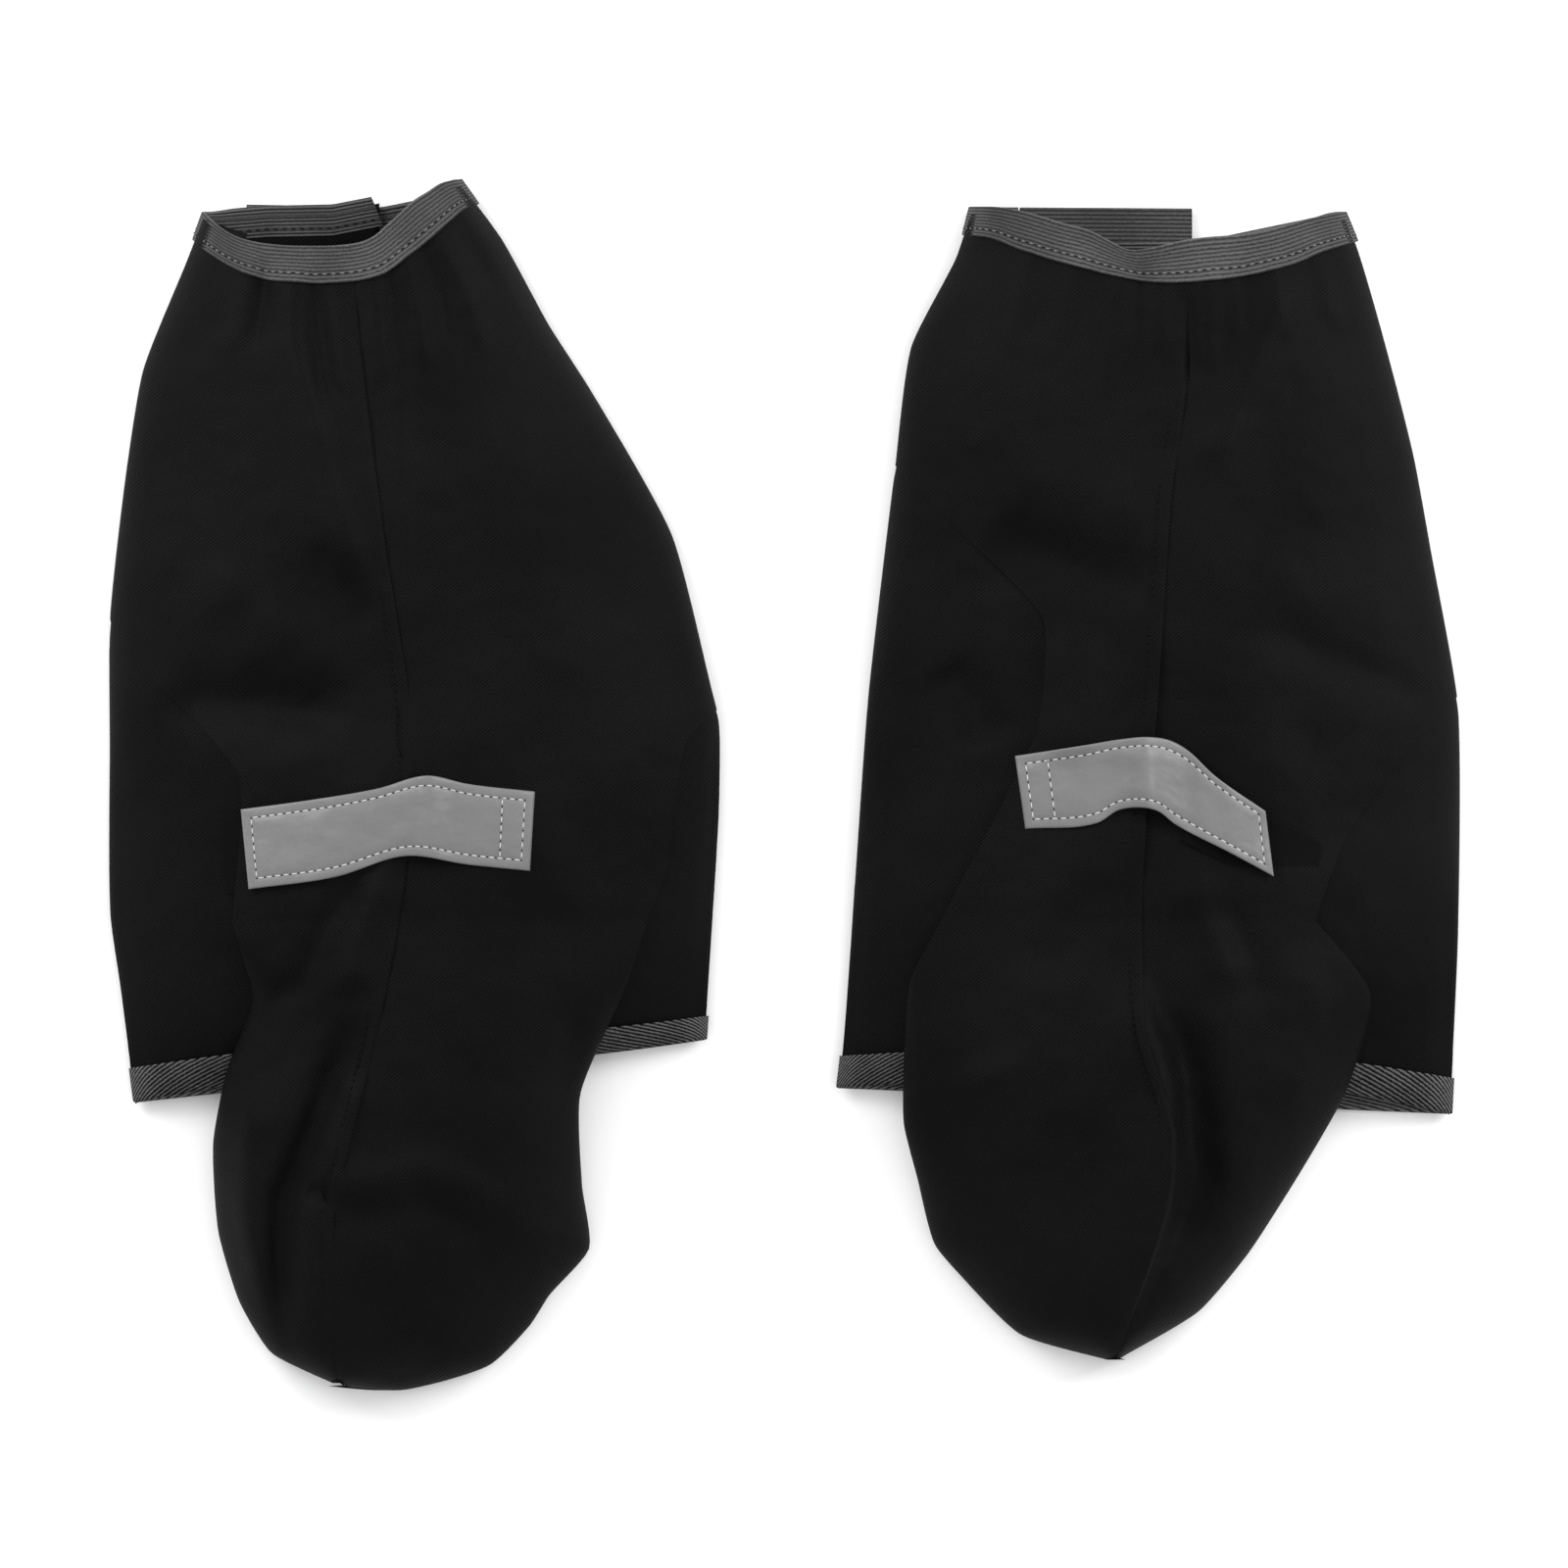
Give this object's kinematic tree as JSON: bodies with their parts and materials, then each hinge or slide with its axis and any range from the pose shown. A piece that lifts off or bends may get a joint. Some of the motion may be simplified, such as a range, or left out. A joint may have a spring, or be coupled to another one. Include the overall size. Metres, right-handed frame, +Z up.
{
  "type": "half-sole riding gaiters",
  "caption": "Pair of waterproof fabric riding gaiters laid flat, with elastic collars, wrap backs, toe hoods with half soles and reflective instep straps.",
  "frame": {"origin": "centre of the pair's outline, on the surface that it lies on", "axes": "+Y along the legs towards the collars, toes to -Y, +X across the pair, +Z up, which is the front of the legs"},
  "size_m": [0.5174, 0.4646, 0.0536],
  "materials": {
    "black_fabric": "matt black waterproof twill",
    "grey_elastic": "matt ribbed elastic",
    "twill_tape": "matt diagonal twill tape",
    "reflective_tape": "satin silver-grey reflective tape with a bound rim",
    "hook_and_loop": "matt black pile",
    "seam_tape": "welded waterproof seam tape",
    "grip_sole": "matt black coated sole cloth"
  },
  "bodies": {
    "legs": {"left_inner_leg_panel": "black_fabric", "left_outer_leg_panel": "black_fabric", "left_collar_elastic": "grey_elastic", "left_inner_hem_tape": "twill_tape", "left_outer_hem_tape": "twill_tape", "left_front_seam_tape": "seam_tape", "left_rear_loop_strip": "hook_and_loop", "left_strap_loop_patch": "hook_and_loop", "left_strap_fixed_end": "reflective_tape", "right_inner_leg_panel": "black_fabric", "right_outer_leg_panel": "black_fabric", "right_collar_elastic": "grey_elastic", "right_inner_hem_tape": "twill_tape", "right_outer_hem_tape": "twill_tape", "right_front_seam_tape": "seam_tape", "right_rear_loop_strip": "hook_and_loop", "right_strap_loop_patch": "hook_and_loop", "right_strap_fixed_end": "reflective_tape"},
    "left_toe_hood": {"left_inner_toe_panel": "black_fabric", "left_outer_toe_panel": "black_fabric", "left_half_sole": "grip_sole", "left_sole_hem_tape": "twill_tape", "left_toe_seam_tape": "seam_tape"},
    "left_strap": {"left_instep_strap": "reflective_tape", "left_strap_hook_patch": "hook_and_loop"},
    "left_flap": {"left_rear_flap": "black_fabric", "left_rear_hook_strip": "hook_and_loop", "left_rear_flap_elastic": "grey_elastic", "left_rear_flap_hem_tape": "twill_tape"},
    "right_toe_hood": {"right_inner_toe_panel": "black_fabric", "right_outer_toe_panel": "black_fabric", "right_half_sole": "grip_sole", "right_sole_hem_tape": "twill_tape", "right_toe_seam_tape": "seam_tape"},
    "right_strap": {"right_instep_strap": "reflective_tape", "right_strap_hook_patch": "hook_and_loop"},
    "right_flap": {"right_rear_flap": "black_fabric", "right_rear_hook_strip": "hook_and_loop", "right_rear_flap_elastic": "grey_elastic", "right_rear_flap_hem_tape": "twill_tape"}
  },
  "joints": [
    {"name": "left_toe_fold", "type": "hinge", "parent": "legs", "child": "left_toe_hood", "pos_m": [-0.14843, -0.052, 0.0498], "axis": [-1, 0, 0], "range_deg": [0, 90]},
    {"name": "right_toe_fold", "type": "hinge", "parent": "legs", "child": "right_toe_hood", "pos_m": [0.13668, -0.052, 0.0498], "axis": [-1, 0, 0], "range_deg": [0, 90]},
    {"name": "left_strap_peel", "type": "hinge", "parent": "legs", "child": "left_strap", "pos_m": [-0.10865, -0.01671, 0.04902], "axis": [0.0487, 0.9988, 0], "range_deg": [0, 90]},
    {"name": "right_strap_peel", "type": "hinge", "parent": "legs", "child": "right_strap", "pos_m": [0.10289, -0.00171, 0.04832], "axis": [0.1269, -0.9919, 0], "range_deg": [0, 90]},
    {"name": "left_flap_swing", "type": "hinge", "parent": "legs", "child": "left_flap", "pos_m": [-0.139, 0.05, 0], "axis": [0, -1, 0], "range_deg": [0, 100]},
    {"name": "right_flap_swing", "type": "hinge", "parent": "legs", "child": "right_flap", "pos_m": [0.09, 0.05, 0], "axis": [0, 1, 0], "range_deg": [0, 100]}
  ]
}
